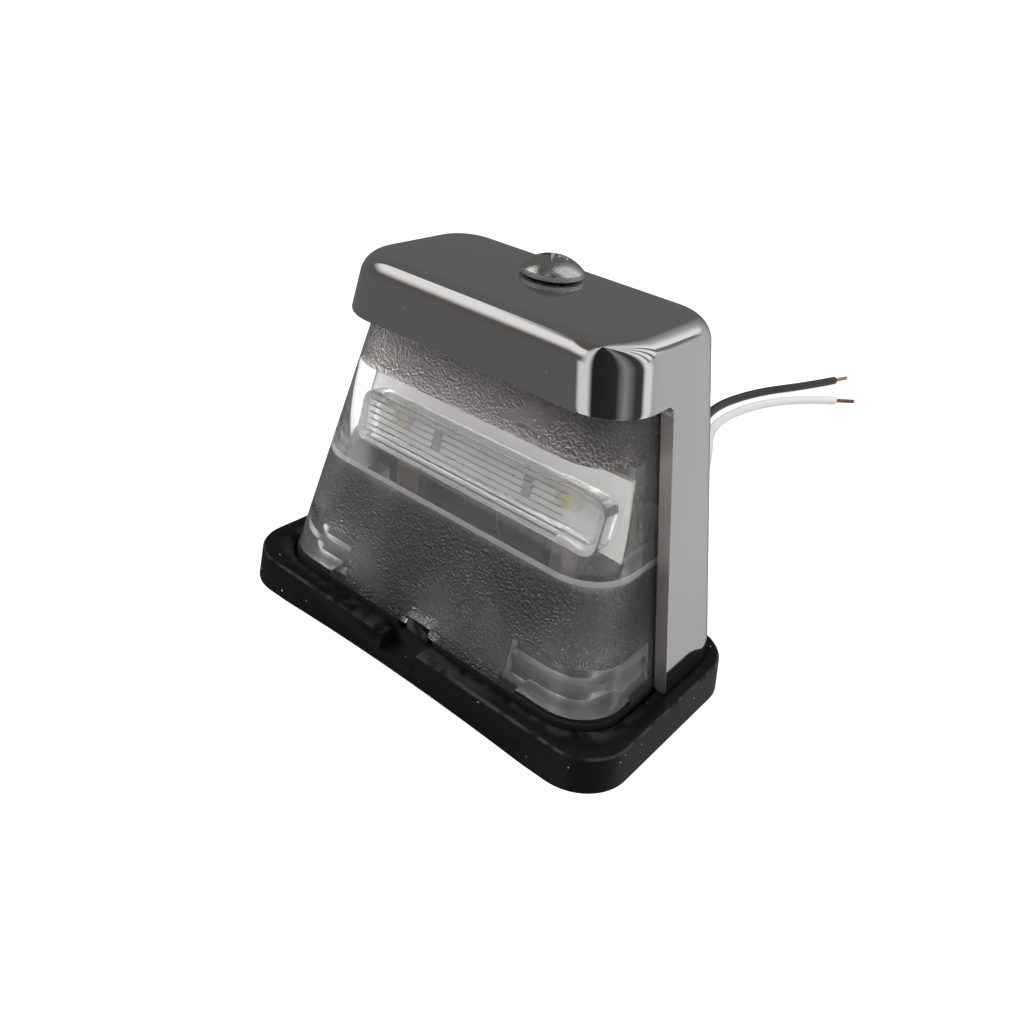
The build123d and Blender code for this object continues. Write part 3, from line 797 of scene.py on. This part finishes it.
def optic_finish():
    """The fluted optic: clear, with slightly cloudy patches, and painted shade that greys it towards its upper edge.
    """
    finish = Finish("optic_clear")
    cloud = finish.noise(5.0, 3.0).step(0.45, 0.85)
    # Painted shade: the optic's colour greys towards its upper edge.
    upper = finish.along(2).step(MODULE_Z, MODULE_Z + OPTIC_RISE)
    tint = finish.mix(cloud, (0.97, 0.97, 0.97, 1), (0.9, 0.9, 0.9, 1))
    tint = finish.mix(upper, tint, (0.7, 0.695, 0.69, 1))
    return finish.surface(clear_plastic(tint, cloud * 0.06 + 0.03, 0.97))


def groove_finish():
    """The grooves between the flutes: clear too, but narrow, dull and tinted dark as painted shade, so they read as
    dark lines.
    """
    finish = Finish("optic_groove")
    # Painted shade: a dark tint in clear plastic.
    tint = finish.mix(finish.noise(6.0, 2.0), (0.16, 0.158, 0.155, 1), (0.3, 0.298, 0.294, 1))
    return finish.surface(clear_plastic(tint, finish.noise(1.0, 2.0) * 0.2 + 0.2, 0.9))


def board_finish():
    """White solder mask with a faint mottle on the board's faces, and beige laminate on its cut edges."""
    finish = Finish("board_white")
    mottle = finish.noise(3.0, 3.0)
    cut = abs(finish.facing(0)).step(0.5, 0.7)
    cut = cut + abs(finish.facing(2)).step(0.6, 0.8)
    white = finish.mix(mottle, (0.84, 0.84, 0.84, 1), (0.9, 0.9, 0.895, 1))
    fibre = finish.noise(0.5, 2.0, stretch=(1.0, 1.0, 6.0))
    beige = finish.mix(fibre, (0.36, 0.33, 0.25, 1), (0.5, 0.46, 0.36, 1))
    return finish.surface({
        "Base Color": finish.mix(cut, white, beige),
        "Roughness": mottle * 0.15 + cut * 0.2 + 0.35,
        "Normal": finish.bump(mottle, 0.03),
    })


def plain_moulding(name, dark, pale, grain_size, roughness, metallic=0.0):
    """A moulded or turned piece: a colour that drifts between two shades, with a fine grain."""
    finish = Finish(name)
    drift = finish.noise(grain_size * 8, 3.0)
    grain = finish.noise(grain_size, 3.0, 0.6)
    return finish.surface({
        "Base Color": finish.mix(drift, dark, pale),
        "Metallic": metallic,
        "Roughness": grain * 0.12 + roughness,
        "Normal": finish.bump(grain, 0.04, 0.6),
    })


def floor_finish():
    """A white floor: to the camera and through the lens its own white and the lamp's soft shadow."""
    finish = Finish("floor_white")
    seen = finish.node("ShaderNodeLightPath", {}, {}, "Is Camera Ray")
    through = finish.node("ShaderNodeLightPath", {}, {}, "Is Transmission Ray")
    paper = finish.node("ShaderNodeBsdfDiffuse", {}, {"Color": (0.8, 0.8, 0.8, 1)})
    faint = finish.node("ShaderNodeBsdfDiffuse", {}, {"Color": (0.45, 0.45, 0.45, 1)})
    glow = finish.node("ShaderNodeEmission", {}, {"Color": (1, 1, 1, 1), "Strength": 0.78})
    white = finish.node("ShaderNodeAddShader", {}, {0: faint, 1: glow})
    return finish.end(finish.node("ShaderNodeMixShader", {}, {0: seen + through, 1: paper, 2: white}))


def tent_finish():
    """What the chrome mirrors: grey levels by compass direction, with a tall soft panel at the front left, a brown
    ceiling above it, and slats in the pale panels at the right."""
    finish = Finish("studio_tent")
    x = finish.along(0)
    y = finish.along(1)
    rise = finish.along(2) / TENT_RADIUS
    turn = finish.node("ShaderNodeMath", {"operation": "ARCTAN2"}, {0: y, 1: x}) / (2 * math.pi) + 0.5
    greys = [
        (-180, 0.14), (-104, 0.13), (-97, 0.85), (-82, 0.85), (-74, 0.02), (-32, 0.03), (-16, 0.3),
        (4, 0.05), (16, 0.05), (24, 0.95), (34, 0.95), (42, 0.52), (62, 0.58), (84, 0.5), (104, 0.15), (180, 0.14),
    ]
    stops = [((degrees + 180) / 360, (grey, grey, grey, 1)) for degrees, grey in greys]
    shade = finish.node("ShaderNodeValToRGB", {"stops": stops}, {0: turn})
    slat = finish.node("ShaderNodeMath", {"operation": "SINE"}, {0: turn * 150.0}).step(0.1, 0.6)
    slats = slat * rise.step(0.3, 0.4) * turn.step(0.55, 0.57) * turn.step(0.72, 0.7)
    shade = finish.mix(slats * 0.75, shade, (0.08, 0.08, 0.09, 1))
    left = turn.step(0.27, 0.22)
    brown = left * rise.step(0.05, 0.3)
    shade = finish.mix(brown, shade, (0.135, 0.112, 0.105, 1))
    panel = left * rise.step(0.4, 0.68) * rise.step(0.88, 0.8)
    shade = finish.mix(panel, shade, (1.05, 1.05, 1.05, 1))
    glare = rise.step(0.36, 0.46) * turn.step(0.56, 0.6) * turn.step(0.74, 0.7) * (1 - slats)
    shade = finish.mix(glare, shade, (1.05, 1.07, 1.1, 1))
    return finish.end(finish.node("ShaderNodeEmission", {}, {"Color": shade, "Strength": 1.0}))


def add_stage():
    """The floor, seen by everything but mirrors, and round the lamp a tent seen only by mirrors."""
    ring = np.linspace(0, 2 * math.pi, 64, endpoint=False)[None, :]
    spread = np.array([0.0, FLOOR_RADIUS])[:, None]
    flat = np.stack(np.broadcast_arrays(spread * np.cos(ring), spread * np.sin(ring), 0 * spread), axis=-1)
    floor = add_stage_piece("floor", flat, floor_finish())
    floor.visible_glossy = False
    rise = np.linspace(-math.pi / 2, math.pi / 2, 33)[:, None]
    flat_part = TENT_RADIUS * np.cos(rise)
    ball = [flat_part * np.cos(ring), flat_part * np.sin(ring), TENT_RADIUS * np.sin(rise)]
    tent = add_stage_piece("studio_tent", np.stack(np.broadcast_arrays(*ball), axis=-1), tent_finish())
    tent.visible_camera = False
    tent.visible_diffuse = False
    tent.visible_transmission = False
    tent.visible_shadow = False


def add_stage_piece(name, points, finish):
    """A surface that isn't part of the lamp, from a grid of points that closes round its middle."""
    quads = grid_quads(points.shape[0], points.shape[1], False, True)
    mesh = bpy.data.meshes.new(name)
    mesh.from_pydata((points.reshape(-1, 3) * MM).tolist(), [], quads.tolist())
    mesh.materials.append(finish)
    made = bpy.data.objects.new(name, mesh)
    bpy.context.scene.collection.objects.link(made)
    return made


def add_light(name, place, size, power):
    """A soft rectangular light that looks at the lamp's middle."""
    light = bpy.data.lights.new(name, "AREA")
    light.shape = "RECTANGLE"
    light.size, light.size_y = size
    light.energy = power
    made = bpy.data.objects.new(name, light)
    aim = np.array([0.0, 0.0, 0.035]) - np.array(place)
    back = -aim / np.linalg.norm(aim)
    right = np.cross([0.0, 0.0, 1.0], back)
    right = right / np.linalg.norm(right)
    made.matrix_world = basis(right, np.cross(back, right), back, place)
    made.visible_glossy = False
    bpy.context.scene.collection.objects.link(made)
    return made


def basis(right, up, back, place):
    """A placing from three directions and a point."""
    matrix = np.eye(4)
    matrix[:3, :4] = np.column_stack([right, up, back, place])
    return Matrix(matrix.tolist())


def add_world():
    """Even grey-white light all round; the camera and what is seen through the lens get plain white."""
    world = bpy.data.worlds.new("studio")
    bpy.context.scene.world = world
    world.use_nodes = True
    finish = Finish("studio", world.node_tree)
    seen = finish.node("ShaderNodeLightPath", {}, {}, "Is Camera Ray")
    through = finish.node("ShaderNodeLightPath", {}, {}, "Is Transmission Ray")
    soft = finish.node("ShaderNodeBackground", {}, {"Color": (1.0, 1.0, 1.0, 1), "Strength": 0.55})
    white = finish.node("ShaderNodeBackground", {}, {"Color": (1, 1, 1, 1), "Strength": 1.0})
    shown = finish.node("ShaderNodeMixShader", {}, {0: seen + through, 1: soft, 2: white})
    output = finish.tree.nodes.new("ShaderNodeOutputWorld")
    finish.tree.links.new(shown.socket, output.inputs["Surface"])


def add_camera():
    """The photograph's camera: its place, its three directions and its lens."""
    data = bpy.data.cameras.new("photo_camera")
    data.sensor_width = 36.0
    data.lens = CAMERA_LENS
    data.clip_start = 0.005
    data.clip_end = 20.0
    made = bpy.data.objects.new("photo_camera", data)
    made.matrix_world = basis(CAMERA_RIGHT, CAMERA_UP, CAMERA_BACK, np.array(CAMERA_PLACE) * MM)
    bpy.context.scene.collection.objects.link(made)
    bpy.context.scene.camera = made


BLACK_ROUTE = [
    (8.4, 21.5), (8.4, 41.5), (3.0, 66.0), (-10.0, 94.0), (-18.2, 116.0), (-15.4, 138.0), (-7.0, 158.0), (-3.6, 169.0)
]
WHITE_ROUTE = [
    (11.6, 21.5), (11.6, 41.5), (7.0, 64.0), (-2.6, 88.0), (-12.6, 107.0), (-11.8, 128.0), (-4.6, 146.0), (3.0, 154.0)
]

add_camera()
add_world()
add_stage()
add_light("key_softbox", (-0.42, -0.42, 0.6), (0.5, 0.4), 7.0)
add_light("right_panel", (0.7, 0.15, 0.5), (0.5, 0.5), 5.0)

black_cover = plain_moulding("lead_black", (0.010, 0.010, 0.010, 1), (0.02, 0.02, 0.021, 1), 0.5, 0.28)
white_cover = plain_moulding("lead_white", (0.52, 0.52, 0.515, 1), (0.6, 0.6, 0.59, 1), 0.5, 0.32)
copper = plain_moulding("copper_bare", (0.62, 0.32, 0.2, 1), (0.78, 0.44, 0.29, 1), 0.3, 0.22, 1.0)
for lead_name, route, cover, slot, length in (
    ("black_lead", BLACK_ROUTE, black_cover, "lead_black", BLACK_LENGTH),
    ("white_lead", WHITE_ROUTE, white_cover, "lead_white", WHITE_LENGTH),
):
    tip = add_lead_tip(lead_name + "_tip", route, copper)
    wire, start = add_lead(lead_name, route, cover)

hood_inside = plain_moulding("hood_inside", (0.13, 0.118, 0.11, 1), (0.19, 0.175, 0.165, 1), 0.6, 0.45)
add_hood(chrome_finish(), hood_inside)
add_lens(
    lens_clear_finish(),
    lens_pebbled_finish(),
    lens_inside_finish(),
    lens_cloudy_finish("lens_sill", (0.86, 0.85, 0.84, 1), (0.94, 0.935, 0.93, 1), 0.55, 0.3),
    # The feet's near-black tint is painted shade; the plastic itself is clear.
    lens_cloudy_finish("lens_feet", (0.1, 0.099, 0.098, 1), (0.16, 0.159, 0.158, 1), 0.75, 0.35),
)
add_optic(optic_finish(), groove_finish())
add_hood_screw(screw_finish())
base_black = base_finish()
smoothed_node("base", base_black)
rubber = plain_moulding("seal_rubber", (0.008, 0.008, 0.008, 1), (0.014, 0.014, 0.014, 1), 0.4, 0.5)
smoothed_node("lens_seal", rubber)

led_rings = [
    (0.0, 0.0, 8.0, 0.0), (1.75, 1.4, 9.0, 0.0), (1.75, 1.4, 9.0, 1.2), (1.65, 1.3, 8.0, 1.4), (1.2, 1.15, 2.0, 1.4),
    (1.05, 1.0, 2.0, 1.0), (0.0, 0.0, 2.0, 1.05),
]
led_kinds = [0, 0, 0, 0, 0, 1]
led_cream = plain_moulding("led_cream", (0.62, 0.56, 0.42, 1), (0.7, 0.64, 0.5, 1), 0.3, 0.35)
phosphor = plain_moulding("led_phosphor", (0.72, 0.52, 0.08, 1), (0.82, 0.64, 0.14, 1), 0.2, 0.5)
chip_rings = [
    (0.0, 0.0, 8.0, 0.0), (0.8, 1.6, 12.0, 0.0), (0.8, 1.6, 12.0, 0.5), (0.72, 1.52, 10.0, 0.6), (0.0, 0.0, 8.0, 0.6)
]
chip_black = plain_moulding("chip_black", (0.08, 0.08, 0.082, 1), (0.13, 0.13, 0.132, 1), 0.3, 0.4)
for side_name, side in (("left", -1), ("right", 1)):
    led = add_board_chip("led_" + side_name, side * LED_PLACE, LED_RISE, led_rings, [led_cream, phosphor], led_kinds)
    chip = add_board_chip("resistor_" + side_name, side * RESISTOR_PLACE, 0.0, chip_rings, [chip_black], [0, 0, 0, 0])

paint(board_finish(), "circuit_board")
paint(plain_moulding("carrier_brown", (0.05, 0.034, 0.024, 1), (0.075, 0.052, 0.038, 1), 0.5, 0.4), "module_carrier")
paint(plain_moulding("screw_small", (0.45, 0.44, 0.42, 1), (0.62, 0.6, 0.57, 1), 0.3, 0.25, 1.0), "carrier_screws")
paint(plain_moulding("insert_brass", (0.6, 0.44, 0.18, 1), (0.74, 0.57, 0.26, 1), 0.3, 0.25, 1.0), "threaded_insert")
paint(rubber, "lead_grommet", "screw_washer")
paint(black_cover, "black_lead_inside")
paint(white_cover, "white_lead_inside")

bpy.context.scene.view_settings.view_transform = "Standard"
